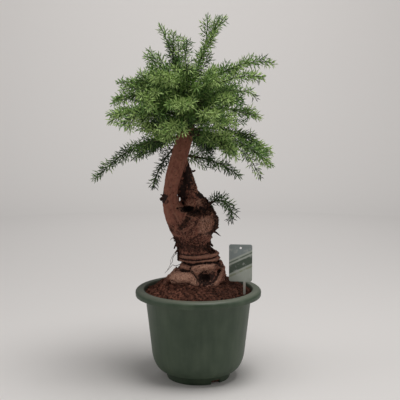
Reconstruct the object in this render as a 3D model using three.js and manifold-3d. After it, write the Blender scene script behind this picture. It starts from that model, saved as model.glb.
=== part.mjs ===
// A potted conifer with soft awl-shaped needles, grown on a thick old stem in the manner of a bonsai.
//
// Frame: millimetres, +Z up, origin at the middle of the pot's flat underside, front of the plant towards -Y.
// The gnarled stem stands on the compost. A smooth limb runs up from it on the left, and a rotted
// stump leans against that limb on the right. All boughs leave the top of the smooth limb. Each bough
// is clothed in needles from a short way out, as are its side twigs, so each makes one long plume.

import * as THREE from "three";
import { mergeVertices } from "three/addons/utils/BufferGeometryUtils.js";
import Module from "manifold-3d";

// ---- Driving dimensions ----

const GAP = 0.3; // clearance between neighbouring solids
const WELD = 1e-4; // corners nearer than this are one

const POT = {
  height: 180,
  lipRadius: 125,
  mouthRadius: 108,
  wall: 2.5,
  floor: 3,
  footRadius: 62.5,
  footTopRadius: 68,
  footHeight: 17,
  flatWidth: 8.5, // flat ring between the foot and the rounded bottom
  bendRadius: 88.5, // where that flat ring would meet the steep side of the bowl
  bendHeight: 26.5,
  bowlRadius: 92.5, // where the rounded bottom runs into the straight wall
  bowlHeight: 50,
  flare: 6, // the wall's widening below the lip
  flareHeight: 22,
  sides: 36,
};
// Corners of the rolled lip: how far in from its reach, and how far below its top.
const LIP = [[5.5, 3.2], [2.4, 6], [2.4, 13], [0.4, 13], [0, 7], [2, 2.6], [6, 0]];
const NOTCH = { count: 3, first: -57, width: 19, taper: 0.6, height: 8, innerRadius: 50, outerRadius: 78 };

const GROUND = 194; // height of the compost round the stem, and of the stem's flat cut
const COMPOST = { edgeHeight: 173, plateau: 66, rings: 4, grain: 1.2 };

const TAG = {
  width: 45,
  height: 73,
  corner: 4,
  thickness: 0.8,
  eyelet: 2.2,
  eyeletDrop: 7,
  stemWidth: 4.6,
  stemTop: 202, // height of the card's lower edge
  stemFoot: 158,
  stemPoint: 8, // length of the sharpened end
  x: 82,
  y: -40,
  stemOffset: 7.6,
  turn: -6,
};

// The stem is swept along centrelines: x, y, z and radius of each station.
const STOCK = {
  sides: 12,
  steps: 12,
  stations: [
    [0, 0, 180, 56],
    [0, 0, 200, 52],
    [1, 0, 215, 46],
    [1, 0, 230, 38],
    [-2, 0, 243, 34],
    [-8, 0, 254, 31],
    [-11, 0, 266, 31.5],
    [-10, 0, 279, 34],
    [-9, 0, 292, 39],
    [-9, 1, 306, 43],
    [-12, 2, 322, 38],
    [-18, 3, 336, 26],
  ],
};
const LIMB = {
  sides: 10,
  steps: 14,
  stations: [
    [-22, 0, 296, 30],
    [-37, -2, 318, 27],
    [-51, -3, 343, 20],
    [-55.5, -4, 366, 14.5],
    [-53, -4, 384, 14.4],
    [-48, -4, 408, 16.2],
    [-40, -3, 432, 16.8],
    [-33, -2, 456, 17],
    [-26, 0, 480, 15.6],
    [-20, 1, 505, 13],
    [-16, 2, 528, 10],
    [-14, 3, 547, 6.5],
  ],
};
const STUMP = {
  sides: 9,
  steps: 8,
  stations: [
    [12, 8, 316, 28],
    [4, 9, 334, 27],
    [-3, 8, 350, 20],
    [-10.5, 7, 366, 14],
    [-14, 6, 381, 10],
    [-17, 5, 397, 8.6],
    [-22, 3, 417, 7.4],
    [-27.5, 1, 438, 6],
  ],
};
// Swellings of the old wood: centre x, y, z and half widths.
const SWELLINGS = [
  [19, -9, 313, 22, 27, 25], // shoulder under the stump
  [-12, -16, 302, 34, 22, 20],
  [-29, 9, 382, 14, 6, 52], // thin wall left at the back of the hollow
  [-64, -6, 359, 9, 9, 11], // scar knob on the limb
  [-12, 4, 350, 18, 20, 14], // foot of the stump, beside the hollow
  [-31, -28, 206, 28, 25, 16], // root swelling at the front left
  [10, -28, 228, 24, 18, 10], // thick lip over the rotted hole
  [-25, -26, 227, 13, 14, 7],
  [40, -8, 225, 12, 18, 9],
  [-28, 20, 200, 30, 28, 17],
  [26, 24, 206, 28, 28, 24],
];
const BALL = { around: 9, down: 5 };
// Folds of bark that run once round the foot, one above the other.
const FOLDS = [
  { x: 0, z: 248, radius: 37.5, thickness: 4.6, tilt: 2.5 },
  { x: 1, z: 240, radius: 38.5, thickness: 4.4, tilt: 1 },
];
const FOLD = { stations: 14, sides: 5, depth: 0.94, swell: 0.12, swells: 3 };
const ROOTS = [
  [[42, 10, 232, 6], [47, -6, 222, 6.5], [46, -24, 208, 7], [34, -42, 197, 6.5], [16, -50, 190, 6]],
  [[-40, -6, 218, 7], [-54, -16, 205, 7.5], [-64, -22, 194, 7], [-70, -26, 186, 6]],
  [[-18, 36, 222, 8], [-34, 48, 206, 9], [-44, 56, 192, 8], [-50, 60, 184, 6]],
  [[36, 34, 216, 8], [46, 44, 202, 8], [54, 50, 190, 7], [58, 52, 183, 6]],
].map((stations) => ({ sides: 5, steps: 4, stations }));
const HOLLOWS = [
  [14, -50, 209, 13, 14, 10], // rotted hole at the foot
  [-1, -27, 338, 31, 11, 6], // crack under the stump
];
const PEEPHOLE = { x: -36.5, z: 357, width: 3.0, height: 9, depth: 120 }; // worn through the thin wall
const CUT_OFF = { width: 400, depth: 100 }; // block that takes the stem off level with the ground

// Boughs: height where they leave the limb, heading (0 = right, 90 = back), length to the tip, the
// slope at the limb and at the tip in degrees, and whether the bare foot of the bough is a piece of its own.
const BOUGHS = {
  leader_right: { height: 544, heading: 26, length: 193, rise: 86, tip: 45, limb: true },
  leader_left: { height: 524, heading: 166, length: 188, rise: 78, tip: 64, limb: true },
  high_left: { height: 519, heading: 199, length: 156, rise: 66, tip: 48, limb: true },
  high_back_left: { height: 520, heading: 141, length: 156, rise: 64, tip: 6, limb: true },
  upper_left: { height: 511, heading: 176, length: 162, rise: 62, tip: -2, limb: true },
  left_back: { height: 500, heading: 157, length: 188, rise: 58, tip: -26, limb: true },
  left: { height: 497, heading: 192, length: 171, rise: 46, tip: -39, limb: true },
  left_front: { height: 502, heading: 219, length: 166, rise: 41, tip: -38, limb: true },
  left_low: { height: 478, heading: 178, length: 204, rise: 2, tip: -54, limb: true },
  left_back_low: { height: 472, heading: 138, length: 138, rise: -25, tip: -75 },
  high_right: { height: 530, heading: 358, length: 204, rise: 70, tip: -10, limb: true },
  upper_right: { height: 520, heading: 338, length: 184, rise: 64, tip: -12, limb: true },
  right_back: { height: 516, heading: 26, length: 173, rise: 56, tip: -26, limb: true },
  right: { height: 506, heading: 356, length: 154, rise: 40, tip: -34, limb: true },
  right_low: { height: 488, heading: 342, length: 192, rise: 4, tip: -44, limb: true },
  right_mid: { height: 494, heading: 12, length: 182, rise: 12, tip: -46, limb: true },
  right_back_low: { height: 442, heading: 24, length: 150, rise: 0, tip: -40 },
  front_left_high: { height: 521, heading: 240, length: 150, rise: 58, tip: 12 },
  front: { height: 507, heading: 266, length: 150, rise: 41, tip: -16 },
  front_low: { height: 494, heading: 258, length: 146, rise: 26, tip: -24 },
  front_right: { height: 498, heading: 300, length: 158, rise: 33, tip: -23 },
  front_right_high: { height: 525, heading: 296, length: 146, rise: 54, tip: 6 },
  front_high: { height: 535, heading: 266, length: 126, rise: 64, tip: 18 },
  front_right_low: { height: 482, heading: 314, length: 144, rise: 10, tip: -34 },
  front_left_low: { height: 489, heading: 233, length: 128, rise: 24, tip: -16 },
  front_left: { height: 509, heading: 234, length: 162, rise: 40, tip: -12 },
  front_right_mid: { height: 512, heading: 318, length: 148, rise: 40, tip: -16 },
  back_high: { height: 526, heading: 100, length: 170, rise: 66, tip: 60, limb: true },
  back_left: { height: 512, heading: 122, length: 178, rise: 46, tip: -8, limb: true },
  back_right: { height: 506, heading: 52, length: 184, rise: 46, tip: -8, limb: true },
  back: { height: 503, heading: 87, length: 178, rise: 42, tip: -14, limb: true },
  back_left_low: { height: 480, heading: 134, length: 150, rise: 0, tip: -36 },
  back_right_low: { height: 482, heading: 42, length: 134, rise: 6, tip: -30 },
  back_low: { height: 478, heading: 66, length: 136, rise: 2, tip: -32 },
};
const SHOULDER_TWIG = { from: [15.4, 4, 339], heading: 354, length: 82, rise: 66, tip: -112 };

const BOUGH = { share: 0.2, radius: 3.5, taper: 0.012, sides: 5, steps: 3 }; // bare foot of a bough
const PLUME = {
  stem: 2.4, // radius of the needle-clad stem where it starts
  stemAtLimb: 2.9, // the same where no bare foot comes before it
  stemTip: 1.3,
  point: 5, // length of the pointed end
  pointShare: 0.3, // how blunt it is
  needle: 20, // length of a needle
  shrink: 0.35, // share that the needles lose towards the tip
  shrinkFrom: 0.42,
  lean: 52, // angle between needle and stem
  ranks: 3, // needles in a whorl
  pitch: 22, // length of stem that carries one whorl
  twist: 40, // turn of each whorl against the last
};
const TWIG = {
  first: 0.34, // share of the bough where the side twigs start
  last: 0.94,
  clear: 8, // bare stretch before the first of them
  every: 35,
  angle: 46,
  rollLow: -60, // how far a twig turns below and above the bough's own side
  rollHigh: 55,
  length: 60,
  tipLength: 22,
  vary: 0.2,
  shortest: 16,
  trim: 3, // a twig that would leave its space is shortened by steps of this
  sag: 18,
  stem: 1.7,
  needle: 17,
};
const BUD = 6; // the last stretch of a shoot, covered by its end needles
const CELL_MARGIN = 4; // a twig or needle stays this much nearer to its own bough than to any other
const WOOD_MARGIN = 3; // and this far from the limb
const SAMPLE_STEP = 4; // distance between the points of a bough that this is measured from
const LIMB_SAMPLES = 80;
const SEED = 7;

// ---- Materials ----

const finish = (color, roughness) => new THREE.MeshStandardMaterial({ color, roughness, metalness: 0 });
const MATERIALS = {
  plastic: finish(0x46543f, 0.5),
  compost: finish(0x3a2119, 1),
  bark: finish(0x5e372c, 0.9),
  twigBark: finish(0x3f4a2a, 0.85),
  needles: finish(0x47702f, 0.6),
  card: finish(0xa9b5ae, 0.45),
};

// ---- Solids ----

const wasm = await Module();
wasm.setup();

const group = new THREE.Group();

function solidOf(geometry) {
  const bare = new THREE.BufferGeometry().setAttribute("position", geometry.getAttribute("position"));
  if (geometry.index) bare.setIndex(geometry.index);
  const merged = mergeVertices(bare, WELD);
  return new wasm.Manifold(
    new wasm.Mesh({
      numProp: 3,
      vertProperties: merged.attributes.position.array,
      triVerts: new Uint32Array(merged.index.array),
    }),
  );
}

// The outer skin of the largest piece: a sealed hollow is filled, and a loose scrap is dropped.
function wholeOf(solid) {
  return solid.decompose().reduce((best, piece) => (piece.volume() > best.volume() ? piece : best));
}

function geometryOf(solid) {
  const mesh = solid.getMesh();
  const positions = new Float32Array(mesh.numVert * 3);
  for (let i = 0; i < mesh.numVert; i++) {
    positions.set(mesh.vertProperties.subarray(i * mesh.numProp, i * mesh.numProp + 3), i * 3);
  }
  const geometry = new THREE.BufferGeometry();
  geometry.setAttribute("position", new THREE.BufferAttribute(positions, 3));
  geometry.setIndex(new THREE.BufferAttribute(mesh.triVerts, 1));
  geometry.computeVertexNormals();
  return geometry;
}

function addNode(name, solid, material) {
  const mesh = new THREE.Mesh(geometryOf(wholeOf(solid)), material);
  mesh.name = name;
  group.add(mesh);
}

// Repeatable random numbers from 0 to 1. A call with a whole number starts a new run of them.
const random = THREE.MathUtils.seededRandom;
const radians = THREE.MathUtils.degToRad;

// A closed skin over rings of equal count, all anticlockwise as seen from the far end. spikes[i][j], where
// there is one, is a point that the patch after ring i and corner j is drawn out to.
function skinOf(rings, spikes = []) {
  const count = rings[0].length;
  const positions = rings.flat().flatMap((p) => [p.x, p.y, p.z]);
  const faces = [];
  for (let j = 1; j < count - 1; j++) faces.push(0, j + 1, j);
  for (let i = 0; i + 1 < rings.length; i++) {
    for (let j = 0; j < count; j++) {
      const k = (j + 1) % count;
      const patch = [i * count + j, i * count + k, (i + 1) * count + k, (i + 1) * count + j];
      const spike = spikes[i]?.[j];
      if (spike) {
        const apex = positions.length / 3;
        positions.push(spike.x, spike.y, spike.z);
        patch.forEach((corner, n) => faces.push(corner, patch[(n + 1) % 4], apex));
      } else {
        faces.push(patch[0], patch[1], patch[2], patch[0], patch[2], patch[3]);
      }
    }
  }
  const last = (rings.length - 1) * count;
  for (let j = 1; j < count - 1; j++) faces.push(last, last + j, last + j + 1);
  return geometryFrom(positions, faces);
}

function geometryFrom(positions, faces) {
  const geometry = new THREE.BufferGeometry();
  geometry.setAttribute("position", new THREE.BufferAttribute(new Float32Array(positions), 3));
  geometry.setIndex(faces);
  return geometry;
}

// A ring of points round a direction, counted from side, a unit vector square to that direction.
function ringAt(centre, direction, side, radius, sides, phase = 0) {
  const up = direction.clone().cross(side);
  return Array.from({ length: sides }, (_, j) => {
    const a = phase + (2 * Math.PI * j) / sides;
    return centre
      .clone()
      .addScaledVector(side, radius * Math.cos(a))
      .addScaledVector(up, radius * Math.sin(a));
  });
}

// A tapering tube through stations of x, y, z and radius, thicker all round by extra.
function sweep({ stations, sides, steps }, extra = 0) {
  const curve = new THREE.CatmullRomCurve3(stations.map(([x, y, z]) => new THREE.Vector3(x, y, z)));
  const radii = new THREE.CatmullRomCurve3(stations.map(([, , , r], i) => new THREE.Vector3(r, i, 0)));
  const side = new THREE.Vector3(0, 1, 0);
  const rings = [];
  for (let i = 0; i <= steps; i++) {
    const direction = curve.getTangent(i / steps);
    side.addScaledVector(direction, -side.dot(direction)).normalize();
    const radius = radii.getPoint(i / steps).x + extra;
    rings.push(ringAt(curve.getPoint(i / steps), direction, side, radius, sides));
  }
  return solidOf(skinOf(rings));
}

function ball([x, y, z, rx, ry, rz]) {
  const sphere = new THREE.SphereGeometry(1, BALL.around, BALL.down);
  return solidOf(sphere.scale(rx, ry, rz).translate(x, y, z));
}

function block(width, depth, height, x, z) {
  return solidOf(new THREE.BoxGeometry(width, depth, height).translate(x, 0, z));
}

function latheSolid(profile, sides) {
  return solidOf(new THREE.LatheGeometry(profile, sides).rotateX(Math.PI / 2));
}

// ---- Pot ----

const point = (r, z) => new THREE.Vector2(r, z);

// The outer profile from the edge of the underside to the lip. An inset gives the inner one.
function bowlProfile(inset, steps) {
  const { footRadius, footTopRadius, footHeight, mouthRadius, height, wall } = POT;
  const bend = new THREE.QuadraticBezierCurve(
    point(footTopRadius + POT.flatWidth - inset, footHeight + inset / 2),
    point(POT.bendRadius - inset, POT.bendHeight),
    point(POT.bowlRadius - inset, POT.bowlHeight),
  );
  const lipFoot = LIP[0][1];
  return [
    point(footRadius - inset, inset ? POT.floor + inset - wall : 0),
    point(footTopRadius - inset, footHeight),
    ...bend.getPoints(steps),
    point(mouthRadius + wall - POT.flare - inset, height - POT.flareHeight),
    point(mouthRadius + wall - inset, inset ? height : height - lipFoot),
  ];
}

function makePot() {
  const lip = LIP.map(([inward, down]) => point(POT.lipRadius - inward, POT.height - down));
  const inner = bowlProfile(POT.wall, 2).reverse();
  const profile = [point(0, 0), ...bowlProfile(0, 3), ...lip, ...inner, point(0, POT.floor)];
  const notches = Array.from({ length: NOTCH.count }, (_, i) => notch(i));
  return notches.reduce((pot, cut) => pot.subtract(cut), latheSolid(profile, POT.sides));
}

// A wedge that opens the foot at its lower edge, so that water drains.
function notch(i) {
  const middle = radians(NOTCH.first + (i * 360) / NOTCH.count);
  const half = radians(NOTCH.width / 2);
  const corner = (radius, angle) => point(radius * Math.cos(angle), radius * Math.sin(angle));
  const shape = new THREE.Shape([
    corner(NOTCH.innerRadius, middle - half * NOTCH.taper),
    corner(NOTCH.outerRadius, middle - half),
    corner(NOTCH.outerRadius, middle + half),
    corner(NOTCH.innerRadius, middle + half * NOTCH.taper),
  ]);
  const wedge = new THREE.ExtrudeGeometry(shape, { depth: 2 * NOTCH.height, bevelEnabled: false });
  return solidOf(wedge.translate(0, 0, -NOTCH.height));
}

// ---- Compost ----

function makeCompost() {
  random(SEED);
  const { edgeHeight, plateau, rings, grain } = COMPOST;
  const below = bowlProfile(POT.wall + GAP, 2);
  const lip = below.pop();
  const wall = below.at(-1);
  const edge = wall.clone().lerp(lip, (edgeHeight - wall.y) / (lip.y - wall.y));
  const levels = [...below, edge].map((p) => ringLevel(p.x, () => p.y));
  for (let i = 1; i <= rings; i++) {
    const radius = edge.x + ((plateau - edge.x) * i) / rings;
    const height = edgeHeight + (GROUND - GAP - edgeHeight) * THREE.MathUtils.smoothstep(i / rings, 0, 1);
    levels.push(ringLevel(radius, () => height - (i < rings ? grain * random() : 0)));
  }
  return solidOf(skinOf(levels));
}

function ringLevel(radius, heightOf) {
  return Array.from({ length: POT.sides }, (_, j) => {
    const a = (2 * Math.PI * j) / POT.sides;
    return new THREE.Vector3(radius * Math.cos(a), radius * Math.sin(a), heightOf());
  });
}

// ---- Care tag ----

// The card with its eyelet and the stem that is pushed into the compost, one flat moulding.
function makeTag(extra = 0) {
  const { width, height, corner, stemWidth, stemTop, stemOffset, stemFoot, stemPoint } = TAG;
  const left = -width / 2;
  const right = width / 2;
  const top = stemTop + height;
  const stemLeft = stemOffset - stemWidth / 2 - extra;
  const stemRight = stemOffset + stemWidth / 2 + extra;
  const shape = new THREE.Shape();
  shape.moveTo(stemRight, stemFoot + stemPoint);
  shape.lineTo(stemRight, stemTop);
  shape.lineTo(right - corner, stemTop);
  shape.absarc(right - corner, stemTop + corner, corner, -Math.PI / 2, 0);
  shape.absarc(right - corner, top - corner, corner, 0, Math.PI / 2);
  shape.absarc(left + corner, top - corner, corner, Math.PI / 2, Math.PI);
  shape.absarc(left + corner, stemTop + corner, corner, Math.PI, 1.5 * Math.PI);
  shape.lineTo(stemLeft, stemTop);
  shape.lineTo(stemLeft, stemFoot + stemPoint);
  shape.lineTo(stemOffset, stemFoot - extra);
  if (!extra) {
    const hole = new THREE.Path();
    hole.absarc(0, top - TAG.eyeletDrop, TAG.eyelet, 0, 2 * Math.PI, true);
    shape.holes.push(hole);
  }
  const thickness = TAG.thickness + 2 * extra;
  const plate = new THREE.ExtrudeGeometry(shape, { depth: thickness, bevelEnabled: false, curveSegments: 4 });
  plate.rotateX(Math.PI / 2);
  plate.translate(0, thickness / 2, 0);
  plate.rotateZ(radians(TAG.turn));
  return solidOf(plate.translate(TAG.x, TAG.y, 0));
}

// ---- Stem ----

// A thick fold that runs once round the foot.
function fold({ x, z, radius, thickness, tilt }) {
  const { stations, sides, depth } = FOLD;
  const slope = Math.tan(radians(tilt));
  const positions = [];
  const faces = [];
  for (let i = 0; i < stations; i++) {
    const a = (2 * Math.PI * i) / stations;
    const out = radius * Math.cos(a);
    const centre = new THREE.Vector3(x + out, depth * radius * Math.sin(a), z + out * slope);
    const along = new THREE.Vector3(-Math.sin(a), Math.cos(a), 0);
    const outward = new THREE.Vector3(Math.cos(a), Math.sin(a), 0);
    const swelling = 1 + FOLD.swell * Math.sin(FOLD.swells * a + 1);
    const ring = ringAt(centre, along, outward, thickness * swelling, sides);
    for (const p of ring) positions.push(p.x, p.y, p.z);
    for (let j = 0; j < sides; j++) {
      const k = (j + 1) % sides;
      const near = i * sides;
      const far = ((i + 1) % stations) * sides;
      faces.push(near + j, near + k, far + k, near + j, far + k, far + j);
    }
  }
  return solidOf(geometryFrom(positions, faces));
}

function makeStem() {
  const wood = [
    sweep(STOCK),
    sweep(LIMB),
    sweep(STUMP),
    ...FOLDS.map(fold),
    ...SWELLINGS.map(ball),
    ...ROOTS.map((root) => sweep(root)),
  ].reduce((sum, piece) => sum.add(piece));
  const cuts = [
    ...HOLLOWS.map(ball),
    block(PEEPHOLE.width, PEEPHOLE.depth, PEEPHOLE.height, PEEPHOLE.x, PEEPHOLE.z),
    block(CUT_OFF.width, CUT_OFF.width, CUT_OFF.depth, 0, GROUND - CUT_OFF.depth / 2),
  ];
  return cuts.reduce((rest, cut) => rest.subtract(cut), wood);
}

// ---- Boughs, twigs and needles ----

// A limb that bends evenly in one upright plane. Returns point and direction at a distance from its start.
function archOf({ from, heading, rise, tip, length }) {
  const turn = radians(tip - rise) / length;
  const start = radians(rise);
  const level = new THREE.Vector3(Math.cos(radians(heading)), Math.sin(radians(heading)), 0);
  return {
    length,
    side: new THREE.Vector3(0, 0, 1).cross(level),
    at(s) {
      const out = (Math.sin(start + turn * s) - Math.sin(start)) / turn;
      const up = (Math.cos(start) - Math.cos(start + turn * s)) / turn;
      return from.clone().addScaledVector(level, out).add(new THREE.Vector3(0, 0, up));
    },
    toward(s) {
      const a = start + turn * s;
      return level.clone().multiplyScalar(Math.cos(a)).add(new THREE.Vector3(0, 0, Math.sin(a)));
    },
  };
}

const limbCurve = new THREE.CatmullRomCurve3(LIMB.stations.map(([x, y, z]) => new THREE.Vector3(x, y, z)));
const limbStations = Array.from({ length: LIMB_SAMPLES + 1 }, (_, i) => ({
  at: limbCurve.getPoint(i / LIMB_SAMPLES),
  radius: LIMB.stations[Math.round((i / LIMB_SAMPLES) * (LIMB.stations.length - 1))][3],
}));

function limbAtHeight(height) {
  return limbStations.reduce((best, s) =>
    Math.abs(s.at.z - height) < Math.abs(best.at.z - height) ? s : best,
  ).at;
}

const arches = Object.entries(BOUGHS).map(([name, bough]) => {
  const arch = archOf({ ...bough, from: limbAtHeight(bough.height) });
  return { name, bough, arch };
});
arches.push({
  name: "shoulder_twig",
  bough: SHOULDER_TWIG,
  arch: archOf({ ...SHOULDER_TWIG, from: new THREE.Vector3(...SHOULDER_TWIG.from) }),
});
for (const a of arches) {
  const count = Math.ceil(a.arch.length / SAMPLE_STEP);
  a.samples = Array.from({ length: count + 1 }, (_, i) => a.arch.at((a.arch.length * i) / count));
}

const nearest = (samples, p) => Math.min(...samples.map((q) => q.distanceTo(p)));

// True where a point belongs to this bough's own space and is clear of the wood.
function inOwnSpace(own, p) {
  const mine = nearest(own.samples, p);
  const clearOfWood = limbStations.every((s) => s.at.distanceTo(p) > s.radius + WOOD_MARGIN);
  const others = arches.every((a) => a === own || nearest(a.samples, p) > mine + CELL_MARGIN);
  return clearOfWood && others;
}

// A needle-clad shoot: a stem with whorls of needles, all one skin. path gives point and direction, and
// keep says whether a needle's tip may stand at a point.
function shoot(path, from, to, { stem, needle }, keep, phase) {
  const { ranks, pitch, stemTip, shrink, shrinkFrom } = PLUME;
  const count = Math.max(1, Math.round((to - from) / pitch));
  const step = (to - from) / count;
  const twist = radians(PLUME.twist);
  const rings = [];
  const spikes = [];
  for (let i = 0; i <= count; i++) {
    const s = from + step * i;
    const radius = stem + ((stemTip - stem) * i) / count;
    const turn = phase + twist * i;
    rings.push(ringAt(path.at(s), path.toward(s), path.side, radius, ranks, turn));
    const late = Math.max(0, (i / count - shrinkFrom) / (1 - shrinkFrom));
    const middle = turn + Math.PI / ranks + twist / 2;
    const tips = needleTips(path, s, radius, needle * (1 - shrink * late), middle);
    spikes.push(tips.map((tip) => (keep(tip) ? tip : null)));
  }
  const end = path.at(to).addScaledVector(path.toward(to), PLUME.point);
  const blunt = stemTip * PLUME.pointShare;
  rings.push(ringAt(end, path.toward(to), path.side, blunt, ranks, phase + twist * (count + 1)));
  return skinOf(rings, spikes);
}

function needleTips(path, s, radius, needle, phase) {
  const lean = radians(PLUME.lean);
  const direction = path.toward(s);
  const reach = radius + needle * Math.sin(lean);
  return ringAt(path.at(s), direction, path.side, reach, PLUME.ranks, phase).map((p) =>
    p.addScaledVector(direction, needle * Math.cos(lean)),
  );
}

// The side twig number i of a bough: it leaves left and right by turns, a little up or down. It is
// shortened until it keeps to the bough's own space, and dropped if little is left.
function twigOf(own, i, s) {
  const direction = own.arch.toward(s);
  const { side } = own.arch;
  const roll = radians(THREE.MathUtils.lerp(TWIG.rollLow, TWIG.rollHigh, random()));
  const out = side
    .clone()
    .multiplyScalar((i % 2 ? 1 : -1) * Math.cos(roll))
    .addScaledVector(direction.clone().cross(side), Math.sin(roll));
  const angle = radians(TWIG.angle);
  const heading = direction.clone().multiplyScalar(Math.cos(angle)).addScaledVector(out, Math.sin(angle));
  const usual = THREE.MathUtils.lerp(TWIG.length, TWIG.tipLength, s / own.arch.length);
  const wanted = usual * (1 - TWIG.vary + 2 * TWIG.vary * random());
  const path = saggingPath(own.arch.at(s), heading, wanted);
  let length = wanted;
  while (length > TWIG.shortest && !inOwnSpace(own, path.at(length + BUD))) length -= TWIG.trim;
  return length > TWIG.shortest ? { path, length } : null;
}

// A twig's path that starts straight and sags towards its tip.
function saggingPath(from, heading, length) {
  const drop = Math.tan(radians(TWIG.sag)) / (2 * length);
  return {
    side: new THREE.Vector3(0, 0, 1).cross(heading).normalize(),
    at: (s) => from.clone().addScaledVector(heading, s).add(new THREE.Vector3(0, 0, -drop * s * s)),
    toward: (s) => heading.clone().add(new THREE.Vector3(0, 0, -2 * drop * s)).normalize(),
  };
}

function makePlume(own, index) {
  random(SEED + index);
  const { arch } = own;
  const keep = (p) => inOwnSpace(own, p);
  const start = own.bough.limb ? arch.length * BOUGH.share + GAP : 0;
  const form = { ...PLUME, stem: own.bough.limb ? PLUME.stem : PLUME.stemAtLimb };
  let plume = solidOf(shoot(arch, start, arch.length - BUD, form, keep, random()));
  const first = Math.max(arch.length * TWIG.first, start + TWIG.clear);
  let i = index;
  for (let s = first; s < arch.length * TWIG.last; s += TWIG.every) {
    const twig = twigOf(own, i, s);
    i += 1;
    if (twig) plume = plume.add(solidOf(shoot(twig.path, 0, twig.length - BUD, TWIG, keep, random())));
  }
  return plume;
}

// The bare foot of a bough, from the middle of the limb to where its needles start.
function makeBough(own) {
  const { arch } = own;
  const end = arch.length * BOUGH.share;
  const rings = Array.from({ length: BOUGH.steps + 1 }, (_, i) => {
    const s = (end * i) / BOUGH.steps;
    return ringAt(arch.at(s), arch.toward(s), arch.side, BOUGH.radius - BOUGH.taper * s, BOUGH.sides);
  });
  return solidOf(skinOf(rings));
}

// ---- Assembly ----

const tagSlot = makeTag(GAP);
addNode("pot", makePot(), MATERIALS.plastic);
addNode("soil", makeCompost().subtract(tagSlot), MATERIALS.compost);
addNode("care_tag", makeTag(), MATERIALS.card);
addNode("trunk", makeStem(), MATERIALS.bark);

const limbClearance = sweep(LIMB, GAP);
const stumpClearance = sweep(STUMP, GAP);
arches.forEach((own, index) => {
  const clearOfWood = (solid) => solid.subtract(limbClearance).subtract(stumpClearance);
  if (own.bough.limb) addNode(`bough_${own.name}`, clearOfWood(makeBough(own)), MATERIALS.twigBark);
  const plume = makePlume(own, index);
  addNode(`foliage_${own.name}`, own.bough.limb ? plume : clearOfWood(plume), MATERIALS.needles);
});

export default group;
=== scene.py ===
import math
import random

import bpy
import numpy as np
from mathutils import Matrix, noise


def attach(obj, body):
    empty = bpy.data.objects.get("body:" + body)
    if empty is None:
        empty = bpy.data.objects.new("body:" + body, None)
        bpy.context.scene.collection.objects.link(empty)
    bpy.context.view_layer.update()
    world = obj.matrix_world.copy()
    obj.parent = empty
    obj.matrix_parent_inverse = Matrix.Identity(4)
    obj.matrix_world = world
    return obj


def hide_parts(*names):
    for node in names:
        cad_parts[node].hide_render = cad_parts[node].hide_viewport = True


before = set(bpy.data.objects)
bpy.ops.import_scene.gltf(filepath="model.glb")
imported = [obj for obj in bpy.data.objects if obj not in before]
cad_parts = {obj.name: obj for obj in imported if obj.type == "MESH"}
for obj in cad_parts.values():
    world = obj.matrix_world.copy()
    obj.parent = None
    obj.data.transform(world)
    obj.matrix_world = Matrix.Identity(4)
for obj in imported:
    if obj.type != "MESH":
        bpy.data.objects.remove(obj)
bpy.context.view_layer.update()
MM = 0.001

# ---- Camera ----
# A long portrait lens on a full-frame camera. It stands 1.7 m in front of the plant at the height of the
# crown, and is tipped down a few degrees.
camera_data = bpy.data.cameras.new("camera")
camera_data.lens = 78.5
camera_data.sensor_width = 36
camera_data.shift_x = 0.00425
camera = bpy.data.objects.new("camera", camera_data)
camera.location = (0, -1.7, 0.582)
camera.rotation_euler = (math.radians(90 - 7.56), 0, 0)
bpy.context.scene.collection.objects.link(camera)
bpy.context.scene.camera = camera
bpy.context.scene.view_settings.view_transform = "Standard"


# ---- Floor, sweep and light ----
# A sheet of pale grey paper lies on the floor and curves up into a far wall all round. One wide soft
# light hangs overhead, one stands at either side, and the last brightens the wall behind the plant.
def draw_out(rings):
    """Draws the selected rim out ring by ring along a profile of radius and height in millimetres."""
    for (r0, z0), (r1, z1) in zip(rings, rings[1:]):
        bpy.ops.mesh.extrude_region_move(TRANSFORM_OT_translate={"value": (0, 0, (z1 - z0) * MM)})
        bpy.ops.transform.resize(value=(r1 / r0, r1 / r0, 1), center_override=(0, 0, z1 * MM))


def turned(name, rings, sides):
    """A closed round piece, made from a disc that is drawn out along a profile."""
    bpy.ops.object.select_all(action="DESELECT")
    radius, height = rings[0]
    bpy.ops.mesh.primitive_circle_add(
        vertices=sides, radius=radius * MM, fill_type="NGON", location=(0, 0, height * MM)
    )
    piece = bpy.context.object
    piece.name = piece.data.name = name
    bpy.ops.object.transform_apply()
    bpy.ops.object.mode_set(mode="EDIT")
    bpy.ops.mesh.select_all(action="SELECT")
    draw_out(rings)
    bpy.ops.object.mode_set(mode="OBJECT")
    return piece


def tone(r, g, b):
    """A colour in 8-bit screen values as linear light."""
    return tuple(((v / 255 + 0.055) / 1.055) ** 2.4 for v in (r, g, b)) + (1,)


def put(tree, kind, sockets=None, **settings):
    """Adds a shader node. A socket is given a value, or another node's output that is linked to it."""
    node = tree.nodes.new("ShaderNode" + kind)
    for key, value in settings.items():
        setattr(node, key, value)
    for key, value in (sockets or {}).items():
        if isinstance(value, bpy.types.NodeSocket):
            tree.links.new(value, node.inputs[key])
        else:
            node.inputs[key].default_value = value
    return node


def finish(name, colour, roughness, shine=0.5):
    """A new material with one base colour. Returns it, its node tree and its shader."""
    material = bpy.data.materials.new(name)
    material.use_nodes = True
    shader = material.node_tree.nodes["Principled BSDF"]
    shader.inputs["Base Color"].default_value = colour
    shader.inputs["Roughness"].default_value = roughness
    shader.inputs["Specular IOR Level"].default_value = shine
    return material, material.node_tree, shader


def blend_colours(tree, share, first, second):
    """A mix of two colours by a share from 0 to 1."""
    return put(tree, "Mix", {0: share, 6: first, 7: second}, data_type="RGBA").outputs[2]


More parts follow.
